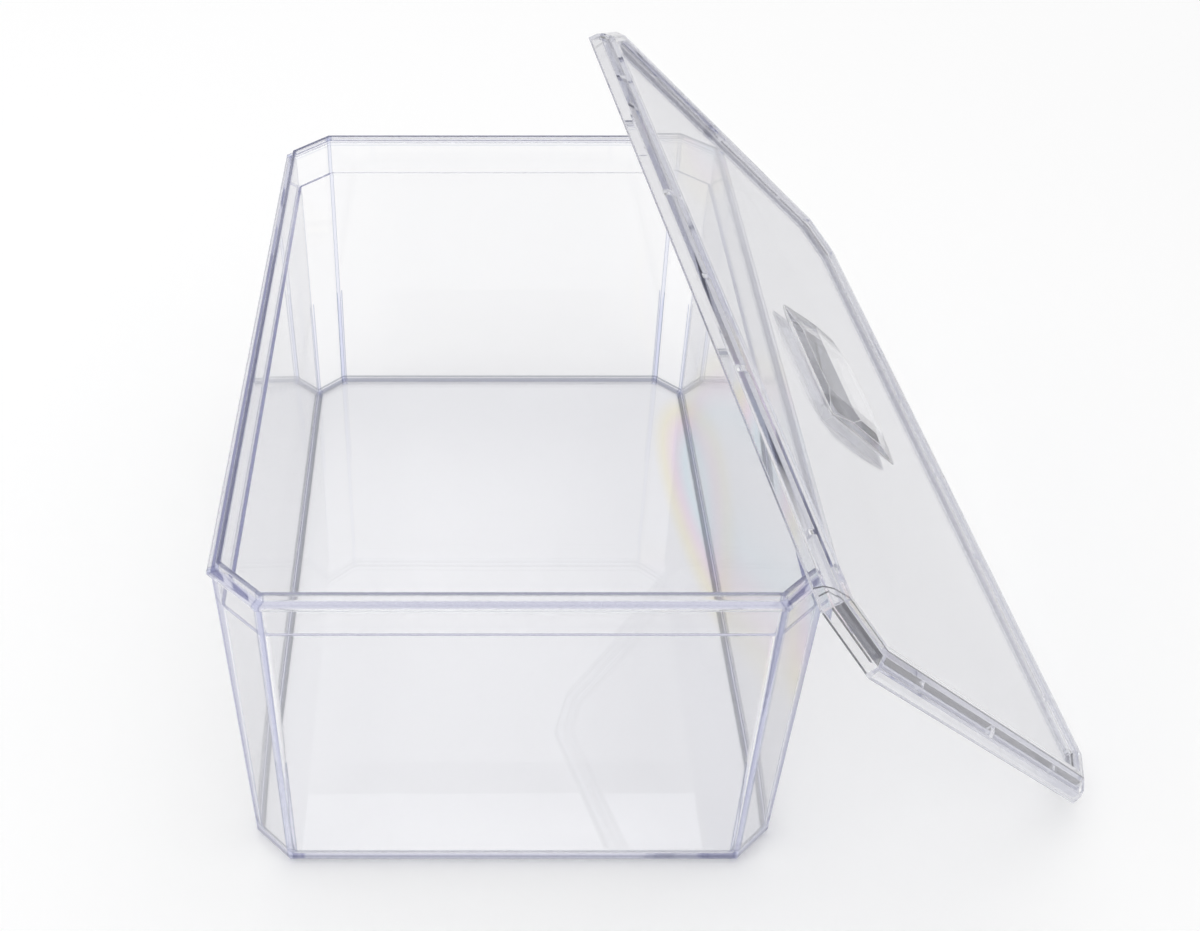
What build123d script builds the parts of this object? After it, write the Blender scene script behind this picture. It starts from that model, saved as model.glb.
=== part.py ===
from build123d import *
from math import sqrt
import os

# Storage box with a lift-off lid, in millimetres.
# Origin: the centre of the base, on the surface the box stands on. +Z is up, +Y runs along the box.
# The lid leans on the right side of the box, with its lowest corner on the same surface.
# Three pieces: the box, the lid, and the gem-cut grip that is bonded to the lid's panel.

# Box: outline of the rim, outline of the base, height
rim_width = 150.0
rim_length = 239.6
rim_corner_cut = 12.8
base_width = 142.8
base_length = 228.6
base_corner_cut = 10.2
box_height = 103.6
wall_thickness = 2.0
floor_thickness = 2.2
foot_bevel_inset = 1.2
foot_bevel_height = 1.8
inside_radius = 2.2
crease_radius = 1.2

# Rim: an upright lip stands on a thin flange
lip_inset = 2.3
lip_thickness = 1.1
lip_height = 2.1
flange_thickness = 1.3
flange_overhang = 0.9
rim_edge_radius = 0.3

# Seat band: the inner wall steps outward under the rim
seat_depth = 10.2
seat_relief = 0.8

# Lid: sunk panel, shoulder, skirt and plug wall
lid_fit_gap = 0.3
panel_drop = 2.4
panel_thickness = 1.7
shoulder_thickness = 2.0
shoulder_out = 2.7
shoulder_drop = 1.8
second_bevel_out = 1.1
second_bevel_drop = 1.6
skirt_flare = 0.7
lid_depth = 6.2
skirt_thickness = 1.9
plug_thickness = 1.9
plug_recess = 0.8

# Cross ribs in the channel between the skirt and the plug wall
rib_thickness = 2.2
low_rib_thickness = 1.6
rib_recess = 2.6
low_rib_recess = 3.4
long_rib_share = 0.29
low_long_rib_share = 0.74
low_short_rib_share = 0.57

# Grip: a clear gem cut bonded to the middle of the panel, given by the outlines of its foot, girdle,
# crown and table, and by the rise from each to the next
foot_width = 33.4
foot_length = 37.6
foot_cut = 3.0
girdle_width = 39.4
girdle_length = 44.0
girdle_cut = 0.8
crown_width = 33.6
crown_length = 42.0
crown_cut = 8.0
table_width = 14.7
table_length = 37.6
table_cut = 2.6
facet_slope = 1.15
girdle_rise = 1.6
girdle_band = 0.4
crown_rise = 1.5
table_rise = 1.2

# How the lid leans: the way its short side runs and the way its top faces, as shares of one,
# how far its middle is from the middle of the box along Y, and its gap over the rim's front corner
lid_short_side_shares = (0.6349, 0.2991, -0.7124)
lid_facing_shares = (0.7475, -0.0045, 0.6643)
lid_shift = -2.73
rest_gap = 0.39

# Faces and edges are picked by their level, with this much room either side
pick_reach = 0.02

# A corner cut at 45 degrees shrinks by this much for each millimetre that its outline moves inward
cut_shrink = 2.0 - sqrt(2.0)


def outline(width, length, cut, inset=0.0):
    """Points of an oblong with its four corners cut, moved inward by inset."""
    x = width / 2 - inset
    y = length / 2 - inset
    c = cut - cut_shrink * inset
    return [
        (x, y - c),
        (x - c, y),
        (c - x, y),
        (-x, y - c),
        (-x, c - y),
        (c - x, -y),
        (x - c, -y),
        (x, c - y),
    ]


flange_top = box_height - lip_height
flange_base = flange_top - flange_thickness
seat_step = flange_base - seat_depth

# Box wall outline at any height, along the straight draft from the base to the flange
wall_top_width = rim_width - 2 * flange_overhang
wall_top_length = rim_length - 2 * flange_overhang
wall_top_cut = rim_corner_cut - cut_shrink * flange_overhang


def wall_outline(height, inset=0.0):
    """Outline of the outer wall at a height over the base, moved inward by inset."""
    share = height / flange_base
    width = base_width + (wall_top_width - base_width) * share
    length = base_length + (wall_top_length - base_length) * share
    cut = base_corner_cut + (wall_top_cut - base_corner_cut) * share
    return outline(width, length, cut, inset)


def level_edges(piece, axis, level):
    """Edges of a piece whose middle lies at a level along an axis."""
    return piece.edges().filter_by_position(axis, level - pick_reach, level + pick_reach)


def level_faces(piece, axis, level):
    """Flat faces of a piece whose middle lies at a level along an axis, largest first."""
    flat = piece.faces().filter_by(GeomType.PLANE)
    there = flat.filter_by_position(axis, level - pick_reach, level + pick_reach)
    return there.sort_by(SortBy.AREA, reverse=True)


# The inner face of the seat band runs straight up into the inner face of the lip
lip_inner = lip_inset + lip_thickness

with BuildPart() as box:
    # Outer body: foot bevel, drafted wall, flange, lip
    with BuildSketch(Plane.XY) as foot_sketch:
        with BuildLine():
            Polyline(*wall_outline(0.0, foot_bevel_inset), close=True)
        make_face()
    with BuildSketch(Plane.XY.offset(foot_bevel_height)) as foot_top_sketch:
        with BuildLine():
            Polyline(*wall_outline(foot_bevel_height), close=True)
        make_face()
    loft(ruled=True)
    with BuildSketch(Plane.XY.offset(foot_bevel_height)) as wall_foot_sketch:
        with BuildLine():
            Polyline(*wall_outline(foot_bevel_height), close=True)
        make_face()
    with BuildSketch(Plane.XY.offset(flange_base)) as wall_top_sketch:
        with BuildLine():
            Polyline(*wall_outline(flange_base), close=True)
        make_face()
    loft(ruled=True)
    with BuildSketch(Plane.XY.offset(flange_base)) as flange_sketch:
        with BuildLine():
            Polyline(*outline(rim_width, rim_length, rim_corner_cut), close=True)
        make_face()
    extrude(amount=flange_thickness)
    with BuildSketch(Plane.XY.offset(flange_top)) as lip_sketch:
        with BuildLine():
            Polyline(*outline(rim_width, rim_length, rim_corner_cut, lip_inset), close=True)
        make_face()
    extrude(amount=lip_height)

    # Inside: drafted hollow up to the seat step, then the wider seat band up to the lip's top
    with BuildSketch(Plane.XY.offset(floor_thickness)) as hollow_floor_sketch:
        with BuildLine():
            Polyline(*wall_outline(floor_thickness, wall_thickness), close=True)
        make_face()
    with BuildSketch(Plane.XY.offset(seat_step)) as hollow_top_sketch:
        with BuildLine():
            Polyline(*wall_outline(seat_step, lip_inner + seat_relief - flange_overhang), close=True)
        make_face()
    loft(ruled=True, mode=Mode.SUBTRACT)
    with BuildSketch(Plane.XY.offset(seat_step)) as seat_sketch:
        with BuildLine():
            Polyline(*wall_outline(seat_step, lip_inner - flange_overhang), close=True)
        make_face()
    with BuildSketch(Plane.XY.offset(flange_top)) as seat_top_sketch:
        with BuildLine():
            Polyline(*outline(rim_width, rim_length, rim_corner_cut, lip_inner), close=True)
        make_face()
    loft(ruled=True, mode=Mode.SUBTRACT)
    with BuildSketch(Plane.XY.offset(flange_top)) as open_top_sketch:
        with BuildLine():
            Polyline(*outline(rim_width, rim_length, rim_corner_cut, lip_inner), close=True)
        make_face()
    extrude(amount=lip_height, mode=Mode.SUBTRACT)

    # Rounded edges: floor and creases inside, creases outside, lip and flange
    hollow_middle = (floor_thickness + seat_step) / 2
    wall_middle = (foot_bevel_height + flange_base) / 2
    floor_face = level_faces(box, Axis.Z, floor_thickness)[0]
    fillet(floor_face.edges() + level_edges(box, Axis.Z, hollow_middle), radius=inside_radius)
    fillet(level_edges(box, Axis.Z, wall_middle), radius=crease_radius)
    fillet(level_faces(box, Axis.Z, box_height)[0].edges(), radius=rim_edge_radius)
    fillet(level_faces(box, Axis.Z, flange_top)[0].outer_wire().edges(), radius=rim_edge_radius)
    fillet(level_faces(box, Axis.Z, flange_base)[0].outer_wire().edges(), radius=rim_edge_radius)
box.part.label = "box"

# Lid outlines are measured inward from the rim's outline, so that the plug fits inside the lip
plug_inset = lip_inner + lid_fit_gap
first_inset = plug_inset - shoulder_out
second_inset = first_inset - second_bevel_out
skirt_inset = second_inset - skirt_flare
plug_depth = lid_depth - plug_recess
bevel_drop = shoulder_drop + second_bevel_drop
panel_base = panel_drop + panel_thickness


def lid_outline(inset):
    """Outline of a lid feature, moved inward from the rim's outline by inset."""
    return outline(rim_width, rim_length, rim_corner_cut, inset)


# The lid's lowest corner touches the surface that the box stands on
lean = Plane(origin=(0, 0, 0), x_dir=lid_short_side_shares, z_dir=lid_facing_shares)
corner_heights = [lean.x_dir.Z * x + lean.y_dir.Z * y for x, y in lid_outline(skirt_inset)]
lid_height = lean.z_dir.Z * lid_depth - min(corner_heights)

# The underside of its panel stays rest_gap away from the front corner of the rim's right side
rim_corner_y = rim_corner_cut - rim_length / 2
facing_rise = lean.z_dir.Z * (flange_top - lid_height) + lean.z_dir.Y * (rim_corner_y - lid_shift)
lid_out = rim_width / 2 + (facing_rise + panel_base + rest_gap) / lean.z_dir.X
lid_plane = Plane(
    origin=(lid_out, lid_shift, lid_height),
    x_dir=lid_short_side_shares,
    z_dir=lid_facing_shares,
)


def gem_outline(width, length, cut_across):
    """Points of an oblong whose slanted corner cuts all run the same way, which keeps facets flat."""
    x = width / 2
    y = length / 2
    u = cut_across
    v = cut_across * facet_slope
    return [
        (x, y - v),
        (x - u, y),
        (u - x, y),
        (-x, y - v),
        (-x, v - y),
        (u - x, -y),
        (x - u, -y),
        (x, v - y),
    ]


# Shared half sizes of the lid, for the ribs
plug_half_width = rim_width / 2 - plug_inset
plug_half_length = rim_length / 2 - plug_inset
channel_outer_inset = skirt_inset + skirt_thickness
rib_reach = plug_inset - channel_outer_inset
rib_centre_x = plug_half_width + rib_reach / 2
rib_centre_y = plug_half_length + rib_reach / 2

with BuildPart() as lid:
    # Outer shape from the top face down: shoulder, second bevel, flared skirt
    with BuildSketch(lid_plane) as top_sketch:
        with BuildLine():
            Polyline(*lid_outline(plug_inset), close=True)
        make_face()
    with BuildSketch(lid_plane.offset(-shoulder_drop)) as shoulder_sketch:
        with BuildLine():
            Polyline(*lid_outline(first_inset), close=True)
        make_face()
    loft(ruled=True)
    with BuildSketch(lid_plane.offset(-shoulder_drop)) as bevel_sketch:
        with BuildLine():
            Polyline(*lid_outline(first_inset), close=True)
        make_face()
    with BuildSketch(lid_plane.offset(-bevel_drop)) as bevel_base_sketch:
        with BuildLine():
            Polyline(*lid_outline(second_inset), close=True)
        make_face()
    loft(ruled=True)
    with BuildSketch(lid_plane.offset(-bevel_drop)) as skirt_sketch:
        with BuildLine():
            Polyline(*lid_outline(second_inset), close=True)
        make_face()
    with BuildSketch(lid_plane.offset(-lid_depth)) as skirt_base_sketch:
        with BuildLine():
            Polyline(*lid_outline(skirt_inset), close=True)
        make_face()
    loft(ruled=True)

    # Hollow under the shoulder, inside the skirt
    with BuildSketch(lid_plane.offset(-shoulder_thickness)) as under_top_sketch:
        with BuildLine():
            Polyline(*lid_outline(plug_inset), close=True)
        make_face()
    with BuildSketch(lid_plane.offset(-bevel_drop)) as under_shoulder_sketch:
        with BuildLine():
            Polyline(*lid_outline(channel_outer_inset), close=True)
        make_face()
    loft(ruled=True, mode=Mode.SUBTRACT)
    with BuildSketch(lid_plane.offset(-lid_depth)) as channel_sketch:
        with BuildLine():
            Polyline(*lid_outline(channel_outer_inset), close=True)
        make_face()
    extrude(amount=lid_depth - bevel_drop, mode=Mode.SUBTRACT)

    # Plug wall, from the lid's top edge down to where it stands inside the box's lip
    with BuildSketch(lid_plane.offset(-plug_depth)) as plug_sketch:
        with BuildLine():
            Polyline(*lid_outline(plug_inset), close=True)
        make_face()
    extrude(amount=plug_depth)
    with BuildSketch(lid_plane.offset(-plug_depth)) as plug_hollow_sketch:
        with BuildLine():
            Polyline(*lid_outline(plug_inset + plug_thickness), close=True)
        make_face()
    extrude(amount=plug_depth - panel_base, mode=Mode.SUBTRACT)

    # Tray on top: the panel lies sunk inside the plug wall
    with BuildSketch(lid_plane) as tray_sketch:
        with BuildLine():
            Polyline(*lid_outline(plug_inset + plug_thickness), close=True)
        make_face()
    extrude(amount=-panel_drop, mode=Mode.SUBTRACT)

    # Cross ribs between the plug wall and the skirt
    with BuildSketch(lid_plane.offset(rib_recess - lid_depth)) as rib_sketch:
        with Locations(
            (rib_centre_x, long_rib_share * plug_half_length),
            (rib_centre_x, -long_rib_share * plug_half_length),
            (-rib_centre_x, long_rib_share * plug_half_length),
            (-rib_centre_x, -long_rib_share * plug_half_length),
        ):
            Rectangle(rib_reach, rib_thickness)
        with Locations((0, rib_centre_y), (0, -rib_centre_y)):
            Rectangle(rib_thickness, rib_reach)
    extrude(amount=lid_depth - rib_recess - shoulder_thickness)
    with BuildSketch(lid_plane.offset(low_rib_recess - lid_depth)) as low_rib_sketch:
        with Locations(
            (rib_centre_x, low_long_rib_share * plug_half_length),
            (rib_centre_x, 0),
            (rib_centre_x, -low_long_rib_share * plug_half_length),
            (-rib_centre_x, low_long_rib_share * plug_half_length),
            (-rib_centre_x, 0),
            (-rib_centre_x, -low_long_rib_share * plug_half_length),
        ):
            Rectangle(rib_reach, low_rib_thickness)
        with Locations(
            (low_short_rib_share * plug_half_width, rib_centre_y),
            (-low_short_rib_share * plug_half_width, rib_centre_y),
            (low_short_rib_share * plug_half_width, -rib_centre_y),
            (-low_short_rib_share * plug_half_width, -rib_centre_y),
        ):
            Rectangle(low_rib_thickness, rib_reach)
    extrude(amount=lid_depth - low_rib_recess - shoulder_thickness)
lid.part.label = "lid"

# Levels of the grip over the lid's top edge
foot_level = -panel_drop
girdle_level = foot_level + girdle_rise
upper_girdle_level = girdle_level + girdle_band
crown_level = upper_girdle_level + crown_rise
table_level = crown_level + table_rise

with BuildPart() as grip:
    # Undercut sides from the foot up to the girdle, and the thin upright girdle band
    with BuildSketch(lid_plane.offset(foot_level)) as foot_ring_sketch:
        with BuildLine():
            Polyline(*gem_outline(foot_width, foot_length, foot_cut), close=True)
        make_face()
    with BuildSketch(lid_plane.offset(girdle_level)) as girdle_sketch:
        with BuildLine():
            Polyline(*gem_outline(girdle_width, girdle_length, girdle_cut), close=True)
        make_face()
    loft(ruled=True)
    with BuildSketch(lid_plane.offset(girdle_level)) as band_sketch:
        with BuildLine():
            Polyline(*gem_outline(girdle_width, girdle_length, girdle_cut), close=True)
        make_face()
    extrude(amount=girdle_band)

    # Crown facets with large corner cuts, then the shallow facets up to the flat table
    with BuildSketch(lid_plane.offset(upper_girdle_level)) as upper_girdle_sketch:
        with BuildLine():
            Polyline(*gem_outline(girdle_width, girdle_length, girdle_cut), close=True)
        make_face()
    with BuildSketch(lid_plane.offset(crown_level)) as crown_sketch:
        with BuildLine():
            Polyline(*gem_outline(crown_width, crown_length, crown_cut), close=True)
        make_face()
    loft(ruled=True)
    with BuildSketch(lid_plane.offset(crown_level)) as upper_crown_sketch:
        with BuildLine():
            Polyline(*gem_outline(crown_width, crown_length, crown_cut), close=True)
        make_face()
    with BuildSketch(lid_plane.offset(table_level)) as table_sketch:
        with BuildLine():
            Polyline(*gem_outline(table_width, table_length, table_cut), close=True)
        make_face()
    loft(ruled=True)
grip.part.label = "grip"

os.makedirs("parts", exist_ok=True)
export_step(box.part, "parts/box.step")
export_step(lid.part, "parts/lid.step")
export_step(grip.part, "parts/grip.step")
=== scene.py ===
import math
import bpy
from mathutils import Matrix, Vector

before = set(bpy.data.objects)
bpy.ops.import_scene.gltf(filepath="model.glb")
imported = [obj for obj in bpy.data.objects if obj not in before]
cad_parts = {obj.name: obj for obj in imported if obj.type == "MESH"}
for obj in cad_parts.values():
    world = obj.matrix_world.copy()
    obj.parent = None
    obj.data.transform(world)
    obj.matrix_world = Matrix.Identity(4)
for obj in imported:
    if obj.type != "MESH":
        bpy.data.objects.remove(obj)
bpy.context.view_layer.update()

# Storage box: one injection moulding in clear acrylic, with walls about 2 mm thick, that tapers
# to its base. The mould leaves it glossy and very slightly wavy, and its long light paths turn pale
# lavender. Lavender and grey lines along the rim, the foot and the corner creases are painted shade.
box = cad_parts["box"]
untinted = (1.0, 1.0, 1.0, 1.0)
acrylic_index = 1.49


def clear_material(name):
    """A node material that holds only an output and a clear plastic shader."""
    made = bpy.data.materials.new(name)
    made.use_nodes = True
    nodes = made.node_tree.nodes
    nodes.clear()
    out = nodes.new("ShaderNodeOutputMaterial")
    out.name = "Material Output"
    plastic = nodes.new("ShaderNodeBsdfPrincipled")
    plastic.name = "plastic"
    plastic.inputs["IOR"].default_value = acrylic_index
    plastic.inputs["Transmission Weight"].default_value = 1.0
    plastic.inputs["Metallic"].default_value = 0.0
    return made


def feed(owner, socket, value):
    """Link another socket into an input, or set the input to a plain value."""
    if isinstance(value, bpy.types.NodeSocket):
        owner.node_tree.links.new(value, socket)
    else:
        socket.default_value = value


def arithmetic(owner, operation, first, second=0.0, third=0.0):
    """One step of arithmetic between sockets or numbers."""
    step = owner.node_tree.nodes.new("ShaderNodeMath")
    step.operation = operation
    for number, value in enumerate((first, second, third)):
        feed(owner, step.inputs[number], value)
    return step.outputs["Value"]


def reach(owner, value, low, high, out_low=0.0, out_high=1.0, smooth=False):
    """How far a value lies between two limits, as a share or between two other numbers."""
    step = owner.node_tree.nodes.new("ShaderNodeMapRange")
    if smooth:
        step.interpolation_type = "SMOOTHSTEP"
    step.inputs["From Min"].default_value = low
    step.inputs["From Max"].default_value = high
    step.inputs["To Min"].default_value = out_low
    step.inputs["To Max"].default_value = out_high
    feed(owner, step.inputs["Value"], value)
    return step.outputs["Result"]


def mixed_colour(owner, share, first, second, blend="MIX"):
    """Two colours mixed or multiplied by a share."""
    mix = owner.node_tree.nodes.new("ShaderNodeMixRGB")
    mix.blend_type = blend
    feed(owner, mix.inputs["Fac"], share)
    feed(owner, mix.inputs["Color1"], first)
    feed(owner, mix.inputs["Color2"], second)
    return mix.outputs["Color"]


def mixed_shader(owner, share, first, second):
    """Two shaders mixed by a share."""
    mix = owner.node_tree.nodes.new("ShaderNodeMixShader")
    feed(owner, mix.inputs["Fac"], share)
    feed(owner, mix.inputs[1], first)
    feed(owner, mix.inputs[2], second)
    return mix.outputs["Shader"]


def colour_ramp(owner, share, stops):
    """Colours along a share from 0 to 1. Each stop is a position with its colour, lowest first."""
    ramp = owner.node_tree.nodes.new("ShaderNodeValToRGB")
    elements = ramp.color_ramp.elements
    elements[0].position, elements[0].color = stops[0]
    elements[1].position, elements[1].color = stops[-1]
    for position, colour in stops[1:-1]:
        element = elements.new(position)
        element.color = colour
    feed(owner, ramp.inputs["Fac"], share)
    return ramp.outputs["Color"]


def banded_colour(owner, value, rows):
    """Colours along a measure. Each row is a measure with its colour, lowest first."""
    low = rows[0][0]
    high = rows[-1][0]
    stops = [((measure - low) / (high - low), colour) for measure, colour in rows]
    return colour_ramp(owner, reach(owner, value, low, high), stops)


def noise(owner, place, size, detail):
    """Soft noise over a piece, from 0 to 1."""
    texture = owner.node_tree.nodes.new("ShaderNodeTexNoise")
    texture.inputs["Scale"].default_value = size
    texture.inputs["Detail"].default_value = detail
    feed(owner, texture.inputs["Vector"], place)
    return texture.outputs["Fac"]


def stress_colour(material, place, tone, stress):
    """Stress colours: pale bands that bend slowly, strongest on the side that the lid leans on."""
    band_size = 3.2
    band_bend = 3.5
    band_detail = 1.0
    band_detail_size = 0.8
    bands = material.node_tree.nodes.new("ShaderNodeTexWave")
    bands.wave_type = "BANDS"
    bands.bands_direction = "DIAGONAL"
    bands.inputs["Scale"].default_value = band_size
    bands.inputs["Distortion"].default_value = band_bend
    bands.inputs["Detail"].default_value = band_detail
    bands.inputs["Detail Scale"].default_value = band_detail_size
    feed(material, bands.inputs["Vector"], place)
    stressed_from = 0.05
    stressed_to = 0.073
    stressed_least = 0.3
    side = material.node_tree.nodes.new("ShaderNodeSeparateXYZ")
    feed(material, side.inputs["Vector"], place)
    stressed = reach(material, side.outputs["X"], stressed_from, stressed_to, stressed_least, smooth=True)
    strength = arithmetic(material, "MULTIPLY", bands.outputs["Fac"], stressed)
    shown = arithmetic(material, "MULTIPLY", strength, stress)
    neutral = (0.995 * tone, 0.995 * tone, tone, 1.0)
    amber = (tone, 0.97 * tone, 0.86 * tone, 1.0)
    rose = (tone, 0.91 * tone, 0.96 * tone, 1.0)
    sky = (0.91 * tone, 0.975 * tone, tone, 1.0)
    last_grey = (0.99 * tone, 0.99 * tone, 0.995 * tone, 1.0)
    stops = ((0.0, neutral), (0.4, neutral), (0.55, amber), (0.7, rose), (0.85, sky), (1.0, last_grey))
    return colour_ramp(material, shown, stops)


def edge_on_colour(material, colour, edge_on):
    """Painted shade: a wall seen edge-on is darkened, as more light is lost on its longer way through it.
    """
    even_blend = 0.5
    slant_from = 0.45
    slant_to = 0.9
    slant = material.node_tree.nodes.new("ShaderNodeLayerWeight")
    slant.inputs["Blend"].default_value = even_blend
    grazing = reach(material, slant.outputs["Facing"], slant_from, slant_to, smooth=True)
    return mixed_colour(material, grazing, colour, edge_on, "MULTIPLY")


def soften_surface(material, place, edge_radius, wave_size, wave_height):
    """Fine hairlines as a little roughness, and mould waviness over softened edges."""
    nodes = material.node_tree.nodes
    plastic = nodes["plastic"]
    mark_size = 220.0
    mark_detail = 6.0
    mark_from = 0.62
    mark_to = 0.85
    mark_roughness = 0.02
    marks = noise(material, place, mark_size, mark_detail)
    roughness = reach(material, marks, mark_from, mark_to, 0.0, mark_roughness)
    feed(material, plastic.inputs["Roughness"], roughness)
    wave_detail = 1.5
    edge_samples = 6
    soft_edge = nodes.new("ShaderNodeBevel")
    soft_edge.name = "soft_edge"
    soft_edge.samples = edge_samples
    soft_edge.inputs["Radius"].default_value = edge_radius
    bump = nodes.new("ShaderNodeBump")
    bump.inputs["Strength"].default_value = 1.0
    bump.inputs["Distance"].default_value = wave_height
    feed(material, bump.inputs["Height"], noise(material, place, wave_size, wave_detail))
    feed(material, bump.inputs["Normal"], soft_edge.outputs["Normal"])
    feed(material, plastic.inputs["Normal"], bump.outputs["Normal"])


def moulded_clear(material, edge_radius, wave_size, wave_height, tone, edge_on, leak, bounces, stress):
    """Clear moulded plastic, with its colour, surface, depth and way with light."""
    nodes = material.node_tree.nodes
    out = nodes["Material Output"]
    plastic = nodes["plastic"]
    place = nodes.new("ShaderNodeTexCoord").outputs["Object"]
    colour = edge_on_colour(material, stress_colour(material, place, tone, stress), edge_on)
    feed(material, plastic.inputs["Base Color"], colour)
    soften_surface(material, place, edge_radius, wave_size, wave_height)

    # Long light paths inside the plastic turn pale lavender
    depth_colour = (0.9, 0.9, 0.93, 1.0)
    depth_density = 6.0
    depth = nodes.new("ShaderNodeVolumeAbsorption")
    depth.inputs["Color"].default_value = depth_colour
    depth.inputs["Density"].default_value = depth_density
    feed(material, out.inputs["Volume"], depth.outputs["Volume"])

    # Light caught between the faces leaves the plastic dimmer after a few reflections
    ray_kind = nodes.new("ShaderNodeLightPath")
    face = nodes.new("ShaderNodeNewGeometry")
    leaving = nodes.new("ShaderNodeBsdfTransparent")
    way_out = mixed_colour(material, face.outputs["Backfacing"], untinted, leak)
    feed(material, leaving.inputs["Color"], way_out)
    caught = arithmetic(material, "GREATER_THAN", ray_kind.outputs["Glossy Depth"], bounces)
    inner = mixed_shader(material, caught, plastic.outputs["BSDF"], leaving.outputs["BSDF"])

    # Light that only casts a shadow passes through with a small loss, as it does in clear plastic
    passing_colour = (0.965, 0.967, 0.98, 1.0)
    passing = nodes.new("ShaderNodeBsdfTransparent")
    passing.name = "passing"
    passing.inputs["Color"].default_value = passing_colour
    shown = mixed_shader(material, ray_kind.outputs["Is Shadow Ray"], inner, passing.outputs["BSDF"])
    feed(material, out.inputs["Surface"], shown)


def shade_zone(material, shade):
    """Multiply the plastic's colour by a painted shade."""
    base = material.node_tree.nodes["plastic"].inputs["Base Color"]
    before = base.links[0].from_socket
    feed(material, base, mixed_colour(material, 1.0, before, shade, "MULTIPLY"))


box_clear = clear_material("box_clear_moulding")
moulded_clear(
    box_clear,
    edge_radius=0.0009,
    wave_size=14.0,
    wave_height=0.00003,
    tone=0.99,
    edge_on=(0.69, 0.69, 0.7, 1.0),
    leak=(0.68, 0.685, 0.79, 1.0),
    bounces=2.5,
    stress=1.0,
)
box_nodes = box_clear.node_tree.nodes
box_place = box_nodes.new("ShaderNodeTexCoord")
box_axes = box_nodes.new("ShaderNodeSeparateXYZ")
feed(box_clear, box_axes.inputs["Vector"], box_place.outputs["Object"])
box_level = box_axes.outputs["Z"]

# Painted shade: lavender and grey lines by height, for light bent in the thick foot and rounded floor
# edge.
# Each row is a height with its colour.
foot_painted_shade = (0.78, 0.79, 0.92, 1.0)
foot_painted_shade_top = (0.8, 0.81, 0.93, 1.0)
floor_edge_painted_shade = (0.34, 0.35, 0.39, 1.0)
floor_edge_painted_shade_top = (0.38, 0.39, 0.44, 1.0)
foot_painted_shade_rows = (
    (0.0, untinted),
    (0.00006, untinted),
    (0.00018, foot_painted_shade),
    (0.00156, foot_painted_shade_top),
    (0.00192, untinted),
    (0.00225, untinted),
    (0.0024, floor_edge_painted_shade),
    (0.00324, floor_edge_painted_shade_top),
    (0.0036, untinted),
    (0.006, untinted),
)
shade_zone(box_clear, banded_colour(box_clear, box_level, foot_painted_shade_rows))

# How far a spot lies past the drafted outline: past the long walls, the short walls and the corners
box_height = 0.1036
base_half_width = 0.0714
base_half_length = 0.1143
base_corner_cut = 0.0102
draft_across = 0.0036
draft_along = 0.0055
draft_corner = 0.0026
wall_zone = 0.0029
diagonal = math.sqrt(2.0)
height_share = arithmetic(box_clear, "DIVIDE", box_level, box_height)
half_width = arithmetic(box_clear, "MULTIPLY_ADD", height_share, draft_across, base_half_width)
half_length = arithmetic(box_clear, "MULTIPLY_ADD", height_share, draft_along, base_half_length)
corner_cut = arithmetic(box_clear, "MULTIPLY_ADD", height_share, draft_corner, base_corner_cut)
from_middle_x = arithmetic(box_clear, "ABSOLUTE", box_axes.outputs["X"])
from_middle_y = arithmetic(box_clear, "ABSOLUTE", box_axes.outputs["Y"])
past_long = arithmetic(box_clear, "SUBTRACT", from_middle_x, half_width)
past_short = arithmetic(box_clear, "SUBTRACT", from_middle_y, half_length)
past_both = arithmetic(box_clear, "ADD", past_long, past_short)
past_cut = arithmetic(box_clear, "ADD", past_both, corner_cut)
past_corner = arithmetic(box_clear, "DIVIDE", past_cut, diagonal)
past_walls = arithmetic(box_clear, "MAXIMUM", past_long, past_short)
past_all = arithmetic(box_clear, "MAXIMUM", past_walls, past_corner)
on_wall = arithmetic(box_clear, "GREATER_THAN", past_all, -wall_zone)

# Painted shade: lavender lines with darker outlines along the upright creases. Each row is a distance from
# a crease with its colour.
long_step = arithmetic(box_clear, "SUBTRACT", past_long, past_corner)
short_step = arithmetic(box_clear, "SUBTRACT", past_short, past_corner)
long_crease = arithmetic(box_clear, "ABSOLUTE", long_step)
short_crease = arithmetic(box_clear, "ABSOLUTE", short_step)
crease = arithmetic(box_clear, "MINIMUM", long_crease, short_crease)
crease_painted_shade = (0.76, 0.79, 0.94, 1.0)
crease_painted_shade_side = (0.78, 0.8, 0.94, 1.0)
crease_painted_outline = (0.42, 0.44, 0.57, 1.0)
crease_painted_shade_rows = (
    (0.0, crease_painted_shade),
    (0.00052, crease_painted_shade_side),
    (0.0006, crease_painted_outline),
    (0.0008, crease_painted_outline),
    (0.00088, untinted),
    (0.002, untinted),
)
crease_painted_shade_colour = banded_colour(box_clear, crease, crease_painted_shade_rows)
shade_zone(box_clear, mixed_colour(box_clear, on_wall, untinted, crease_painted_shade_colour))

# Painted shade: thin darker lines on the lip's top edge and the flange's underside, again by height
flange_painted_shade = (0.78, 0.79, 0.86, 1.0)
lip_painted_shade = (0.34, 0.35, 0.4, 1.0)
rim_painted_shade_rows = (
    (0.0996, untinted),
    (0.1, untinted),
    (0.10012, flange_painted_shade),
    (0.10048, flange_painted_shade),
    (0.10064, untinted),
    (0.1032, untinted),
    (0.1034, lip_painted_shade),
    (0.1036, lip_painted_shade),
)
shade_zone(box_clear, banded_colour(box_clear, box_level, rim_painted_shade_rows))

# The thick ring of the foot holds back more light, so the box has a fine contact shadow
ring_height = 0.0034
ring_passing = (0.42, 0.42, 0.44, 1.0)
wall_passing = (0.965, 0.967, 0.975, 1.0)
ring_low = arithmetic(box_clear, "LESS_THAN", box_level, ring_height)
ring_mask = arithmetic(box_clear, "MULTIPLY", ring_low, on_wall)
ring_colour = mixed_colour(box_clear, ring_mask, wall_passing, ring_passing)
feed(box_clear, box_nodes["passing"].inputs["Color"], ring_colour)
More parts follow.
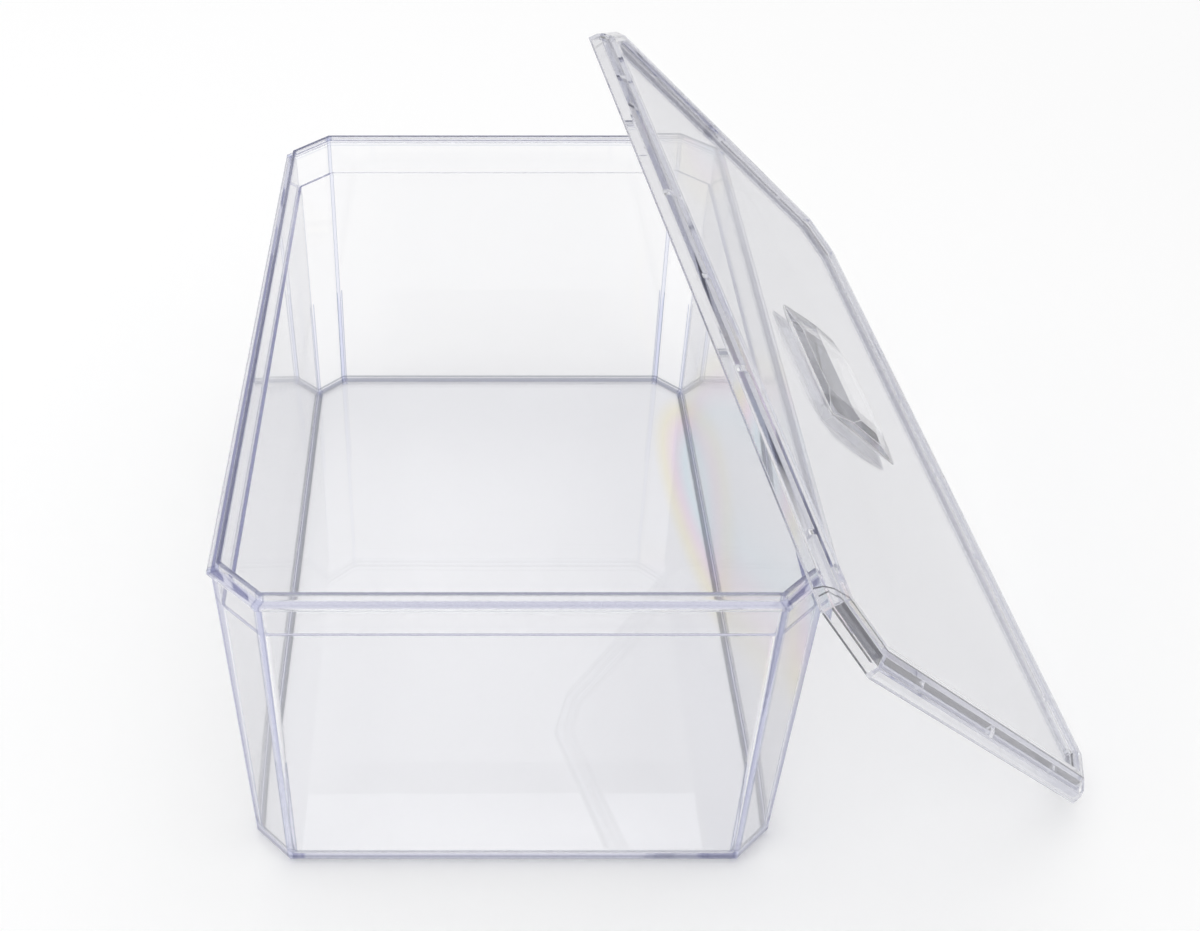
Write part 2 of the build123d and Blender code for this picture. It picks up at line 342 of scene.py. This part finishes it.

# Painted light and shade: lighter towards the creases and the floor's edge, a little greyer mid-panel
crease_weight = 1.4
panel_painted_light_reach = 0.002
panel_painted_shade_reach = 0.034
panel_painted_shade = (0.97, 0.97, 0.972, 1.0)
on_floor = arithmetic(box_clear, "SUBTRACT", 1.0, on_wall)
inside_all = arithmetic(box_clear, "MULTIPLY", past_all, -1.0)
floor_reach = arithmetic(box_clear, "MULTIPLY", inside_all, on_floor)
weighted_crease = arithmetic(box_clear, "MULTIPLY", crease, crease_weight)
nearest_line = arithmetic(box_clear, "MINIMUM", weighted_crease, box_level)
wall_reach = arithmetic(box_clear, "MULTIPLY", nearest_line, on_wall)
from_lines = arithmetic(box_clear, "ADD", floor_reach, wall_reach)
mid_panel = reach(box_clear, from_lines, panel_painted_light_reach, panel_painted_shade_reach, smooth=True)
shade_zone(box_clear, mixed_colour(box_clear, mid_panel, untinted, panel_painted_shade))
box.data.materials.clear()
box.data.materials.append(box_clear)

# Lid: a second moulding of the same clear plastic. Its sunk panel, bevelled shoulder, skirt, plug
# wall and ribs are one piece, so it takes one material. It leans, so it has axes of its own, which
# start at the middle of its top face.
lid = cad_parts["lid"]
lid_middle = (0.098593, -0.00273, 0.082418)
lid_across = (0.634881, 0.299089, -0.71237)
lid_along = (-0.195472, 0.954215, 0.226418)
lid_outward = (0.747473, -0.0045, 0.664276)
lid_clear = clear_material("lid_clear_moulding")
moulded_clear(
    lid_clear,
    edge_radius=0.0003,
    wave_size=18.0,
    wave_height=0.00001,
    tone=0.95,
    edge_on=(0.8, 0.8, 0.815, 1.0),
    leak=(0.75, 0.755, 0.8, 1.0),
    bounces=1.5,
    stress=0.38,
)


def from_lid_middle(material):
    """Where a spot lies, seen from the middle of the lid's top face."""
    nodes = material.node_tree.nodes
    offset = nodes.new("ShaderNodeVectorMath")
    offset.operation = "SUBTRACT"
    offset.inputs[1].default_value = lid_middle
    feed(material, offset.inputs[0], nodes.new("ShaderNodeTexCoord").outputs["Object"])
    return offset.outputs["Vector"]


def along_direction(material, vector, direction):
    """How far a vector reaches along a direction."""
    dot = material.node_tree.nodes.new("ShaderNodeVectorMath")
    dot.operation = "DOT_PRODUCT"
    feed(material, dot.inputs[0], vector)
    feed(material, dot.inputs[1], direction)
    return dot.outputs["Value"]


lid_spot = from_lid_middle(lid_clear)
spot_across = along_direction(lid_clear, lid_spot, lid_across)
spot_along = along_direction(lid_clear, lid_spot, lid_along)
spot_level = along_direction(lid_clear, lid_spot, lid_outward)
from_axis = arithmetic(lid_clear, "ABSOLUTE", spot_across)
from_cross_axis = arithmetic(lid_clear, "ABSOLUTE", spot_along)
from_both = arithmetic(lid_clear, "ADD", from_axis, from_cross_axis)

# Painted shade: the lid darkens evenly from its near end to its far end
fade_half_length = 0.12
lid_fade_painted_shade = (0.78, 0.78, 0.8, 1.0)
fade = reach(lid_clear, spot_along, -fade_half_length, fade_half_length)
shade_zone(lid_clear, mixed_colour(lid_clear, fade, untinted, lid_fade_painted_shade))

# Painted shade: between the ribs, the plug wall behind the short sides and cut corners is darkened into
# windows
plug_half_length = 0.1161
plug_corner_sum = 0.17677
window_skin_depth = 0.00015
window_end_start = 0.1
window_far_share = 0.4
window_depth = 0.0058
window_painted_shade = (0.07, 0.07, 0.075, 1.0)
past_plug_end = arithmetic(lid_clear, "SUBTRACT", from_cross_axis, plug_half_length)
past_plug_cut = arithmetic(lid_clear, "SUBTRACT", from_both, plug_corner_sum)
past_plug_corner = arithmetic(lid_clear, "DIVIDE", past_plug_cut, diagonal)
past_plug = arithmetic(lid_clear, "MAXIMUM", past_plug_end, past_plug_corner)
from_plug_face = arithmetic(lid_clear, "ABSOLUTE", past_plug)
on_plug_face = arithmetic(lid_clear, "LESS_THAN", from_plug_face, window_skin_depth)
near_end = arithmetic(lid_clear, "LESS_THAN", spot_along, -window_end_start)
far_end = arithmetic(lid_clear, "GREATER_THAN", spot_along, window_end_start)
far_share = arithmetic(lid_clear, "MULTIPLY", far_end, window_far_share)
window_end = arithmetic(lid_clear, "MAXIMUM", near_end, far_share)
window_level = arithmetic(lid_clear, "GREATER_THAN", spot_level, -window_depth)
window_face = arithmetic(lid_clear, "MULTIPLY", on_plug_face, window_end)
window_shade_mask = arithmetic(lid_clear, "MULTIPLY", window_face, window_level)
shade_zone(lid_clear, mixed_colour(lid_clear, window_shade_mask, untinted, window_painted_shade))

# Under the grip the panel is bonded to it, so light passes there without a surface
panel_drop = 0.0024
bond_depth = 0.00005
foot_half_width = 0.0167
foot_half_length = 0.0188
foot_corner_sum = 0.0325


def straight_zone(material, mask):
    """Let light pass straight through where a mask says so."""
    tree = material.node_tree
    surface = tree.nodes["Material Output"].inputs["Surface"]
    before = surface.links[0].from_socket
    straight = tree.nodes.new("ShaderNodeBsdfTransparent")
    feed(material, surface, mixed_shader(material, mask, before, straight.outputs["BSDF"]))


above_panel = arithmetic(lid_clear, "ADD", spot_level, panel_drop)
from_panel = arithmetic(lid_clear, "ABSOLUTE", above_panel)
bond_level = arithmetic(lid_clear, "LESS_THAN", from_panel, bond_depth)
bond_across = arithmetic(lid_clear, "LESS_THAN", from_axis, foot_half_width)
bond_along = arithmetic(lid_clear, "LESS_THAN", from_cross_axis, foot_half_length)
bond_corner = arithmetic(lid_clear, "LESS_THAN", from_both, foot_corner_sum)
bond_sides = arithmetic(lid_clear, "MULTIPLY", bond_across, bond_along)
bond_outline = arithmetic(lid_clear, "MULTIPLY", bond_sides, bond_corner)
straight_zone(lid_clear, arithmetic(lid_clear, "MULTIPLY", bond_outline, bond_level))
lid.data.materials.clear()
lid.data.materials.append(lid_clear)

# Grip: a small gem cut, moulded on its own in clear plastic and bonded to the middle of the lid's
# panel. Its facets are flat and its edges sharper than those of the box.
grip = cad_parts["grip"]
grip_clear = clear_material("grip_clear_moulding")
moulded_clear(
    grip_clear,
    edge_radius=0.00035,
    wave_size=30.0,
    wave_height=0.00001,
    tone=0.99,
    edge_on=(0.8, 0.8, 0.82, 1.0),
    leak=(0.92, 0.92, 0.94, 1.0),
    bounces=1.5,
    stress=0.3,
)
grip_nodes = grip_clear.node_tree.nodes
grip_spot = from_lid_middle(grip_clear)

# Light enters the bonded foot without a surface, and a little passes straight through elsewhere
grip_straight = 0.1
grip_level = along_direction(grip_clear, grip_spot, lid_outward)
grip_foot = arithmetic(grip_clear, "LESS_THAN", grip_level, bond_depth - panel_drop)
straight_zone(grip_clear, arithmetic(grip_clear, "MAXIMUM", grip_foot, grip_straight))

# Painted highlight: fine matt white lines where the facets meet, for polished edges catching the light
painted_highlight_share = 0.85
line_turn_most = 0.995
line_turn_least = 0.9998
painted_highlight_white = (0.95, 0.95, 0.96, 1.0)
true_face = grip_nodes.new("ShaderNodeNewGeometry")
soft_normal = grip_nodes["soft_edge"].outputs["Normal"]
edge_turn = along_direction(grip_clear, true_face.outputs["Normal"], soft_normal)
edge_line = reach(grip_clear, edge_turn, line_turn_most, line_turn_least, painted_highlight_share, 0.0)
grip_ray = grip_nodes.new("ShaderNodeLightPath")
not_shadow = arithmetic(grip_clear, "SUBTRACT", 1.0, grip_ray.outputs["Is Shadow Ray"])
painted_highlight_mask = arithmetic(grip_clear, "MULTIPLY", edge_line, not_shadow)
painted_highlight_surface = grip_nodes.new("ShaderNodeBsdfDiffuse")
painted_highlight_surface.inputs["Color"].default_value = painted_highlight_white
grip_surface = grip_nodes["Material Output"].inputs["Surface"]
without_lines = grip_surface.links[0].from_socket
with_lines = mixed_shader(grip_clear, painted_highlight_mask, without_lines, painted_highlight_surface.outputs["BSDF"])
feed(grip_clear, grip_surface, with_lines)

# Painted shade: the steep facets at the gem's two ends are darkened
end_start = 0.0145
end_painted_shade = (0.45, 0.45, 0.47, 1.0)
grip_along = along_direction(grip_clear, grip_spot, lid_along)
from_grip_middle = arithmetic(grip_clear, "ABSOLUTE", grip_along)
grip_end = arithmetic(grip_clear, "GREATER_THAN", from_grip_middle, end_start)
shade_zone(grip_clear, mixed_colour(grip_clear, grip_end, untinted, end_painted_shade))

# Painted shade: the steeper a facet, the greyer it is painted against the flat table of the gem. Each row
# is the cosine of a facet's tilt with its colour.
facet_painted_shade_rows = (
    (0.8, (0.78, 0.78, 0.8, 1.0)),
    (0.86, (0.8, 0.8, 0.82, 1.0)),
    (0.92, (0.86, 0.86, 0.88, 1.0)),
    (0.986, (0.92, 0.92, 0.93, 1.0)),
    (0.994, (0.93, 0.93, 0.94, 1.0)),
    (0.997, untinted),
    (1.0, untinted),
)
grip_place = grip_nodes.new("ShaderNodeTexCoord")
facet_turn = along_direction(grip_clear, grip_place.outputs["Normal"], lid_outward)
facet_level = arithmetic(grip_clear, "ABSOLUTE", facet_turn)
shade_zone(grip_clear, banded_colour(grip_clear, facet_level, facet_painted_shade_rows))
grip.data.materials.clear()
grip.data.materials.append(grip_clear)

# Table: one pale matt sheet for the photo, laid just under the box. It fades into an even white away
# from the object, so that no edge shows.
table_half_size = 3.0
table_gap = 0.0003
table_white = (0.985, 0.985, 0.985, 1.0)
table_roughness = 0.6
table_fade_start = 0.35
table_fade_end = 1.0
table_corners = [(-1.0, -1.0), (1.0, -1.0), (1.0, 1.0), (-1.0, 1.0)]
table_points = [(side * table_half_size, way * table_half_size, -table_gap) for side, way in table_corners]
table_mesh = bpy.data.meshes.new("table_sheet")
table_mesh.from_pydata(table_points, [], [(0, 1, 2, 3)])
table = bpy.data.objects.new("table_sheet", table_mesh)
bpy.context.scene.collection.objects.link(table)
table_paint = bpy.data.materials.new("table_paint")
table_paint.use_nodes = True
table_nodes = table_paint.node_tree.nodes
table_surface = table_nodes["Principled BSDF"]
table_surface.inputs["Base Color"].default_value = table_white
table_surface.inputs["Roughness"].default_value = table_roughness
table_place = table_nodes.new("ShaderNodeNewGeometry")
table_distance = table_nodes.new("ShaderNodeVectorMath")
table_distance.operation = "LENGTH"
feed(table_paint, table_distance.inputs[0], table_place.outputs["Position"])
table_fade = reach(
    table_paint, table_distance.outputs["Value"], table_fade_start, table_fade_end, smooth=True
)
table_ray = table_nodes.new("ShaderNodeLightPath")
table_seen = table_ray.outputs["Is Camera Ray"]
for ray_name in ("Is Glossy Ray", "Is Transmission Ray"):
    table_seen = arithmetic(table_paint, "MAXIMUM", table_seen, table_ray.outputs[ray_name])
table_share = arithmetic(table_paint, "MULTIPLY", table_seen, table_fade)
table_glow = table_nodes.new("ShaderNodeEmission")
table_glow.inputs["Color"].default_value = table_white
table_glow.inputs["Strength"].default_value = 1.0
table_shader = mixed_shader(
    table_paint, table_share, table_surface.outputs["BSDF"], table_glow.outputs["Emission"]
)
feed(table_paint, table_nodes["Material Output"].inputs["Surface"], table_shader)
table_mesh.materials.append(table_paint)

# Camera: stands in front of the short side and looks down along the box. The photo's optical axis
# lies left of its middle, so the frame is shifted.
photo_width = 1200.0
photo_middle = 600.0
axis_column = 465.7
focal_pixels = 1553.4
film_width = 36.0
camera_place = (-0.01309, -0.38157, 0.35109)
camera_level_turn = 90.0
camera_tilt_down = 38.383
camera_near_limit = 0.01
camera_data = bpy.data.cameras.new("camera")
camera_data.sensor_fit = "HORIZONTAL"
camera_data.sensor_width = film_width
camera_data.lens = film_width * focal_pixels / photo_width
camera_data.shift_x = (photo_middle - axis_column) / photo_width
camera_data.clip_start = camera_near_limit
camera = bpy.data.objects.new("camera", camera_data)
bpy.context.scene.collection.objects.link(camera)
camera.location = camera_place
camera.rotation_euler = (math.radians(camera_level_turn - camera_tilt_down), 0.0, 0.0)
bpy.context.scene.camera = camera

# Studio room: white all round, with a darker band at mid height that gives the clear plastic its
# edges. The camera itself sees plain white, and what is matt is lit by a weaker room.
band_tone = 0.38
room_blue = 1.004
room_strength = 0.775
first_bounce_limit = 0.5
room_rows = [(-1.0, untinted)]
for room_height, room_tone in ((0.14, 1.0), (0.2, band_tone), (0.4, band_tone), (0.52, 1.0)):
    room_rows.append((room_height, (room_tone, room_tone, room_blue * room_tone, 1.0)))
room_rows.append((1.0, untinted))
world = bpy.data.worlds.new("studio")
bpy.context.scene.world = world
world.use_nodes = True
world_nodes = world.node_tree.nodes
world_nodes.clear()
world_out = world_nodes.new("ShaderNodeOutputWorld")
world_place = world_nodes.new("ShaderNodeTexCoord")
world_axes = world_nodes.new("ShaderNodeSeparateXYZ")
feed(world, world_axes.inputs["Vector"], world_place.outputs["Generated"])
room = banded_colour(world, world_axes.outputs["Z"], room_rows)
world_ray = world_nodes.new("ShaderNodeLightPath")
camera_ray = world_ray.outputs["Is Camera Ray"]
seen = world_nodes.new("ShaderNodeBackground")
seen.inputs["Strength"].default_value = 1.0
feed(world, seen.inputs["Color"], mixed_colour(world, camera_ray, room, untinted))
lit = world_nodes.new("ShaderNodeBackground")
lit.inputs["Strength"].default_value = room_strength
feed(world, lit.inputs["Color"], room)
seen_ray = arithmetic(world, "MAXIMUM", camera_ray, world_ray.outputs["Is Transmission Ray"])
clear_ray = arithmetic(world, "MAXIMUM", seen_ray, world_ray.outputs["Is Glossy Ray"])
before_bounce = arithmetic(world, "LESS_THAN", world_ray.outputs["Diffuse Depth"], first_bounce_limit)
seen_share = arithmetic(world, "MULTIPLY", clear_ray, before_bounce)
room_shader = mixed_shader(world, seen_share, lit.outputs["Background"], seen.outputs["Background"])
feed(world, world_out.inputs["Surface"], room_shader)

# Lamps: two square soft boxes, one high behind the box and one on the left, that face the object
lamp_aim = Vector((0.0, 0.0, 0.05))


def softbox(name, place, size, power):
    """A square studio lamp that faces the object and isn't mirrored in it."""
    lamp_data = bpy.data.lights.new(name, "AREA")
    lamp_data.shape = "RECTANGLE"
    lamp_data.size = size
    lamp_data.size_y = size
    lamp_data.energy = power
    lamp = bpy.data.objects.new(name, lamp_data)
    bpy.context.scene.collection.objects.link(lamp)
    lamp.location = place
    lamp.visible_glossy = False
    lamp.rotation_euler = (lamp_aim - Vector(place)).to_track_quat("-Z", "Y").to_euler()


softbox("lamp_top", place=(0.0, 0.6, 2.2), size=2.0, power=14.6)
softbox("lamp_left", place=(-1.9, -0.6, 1.5), size=1.6, power=12.8)

bpy.context.scene.view_settings.view_transform = "Standard"
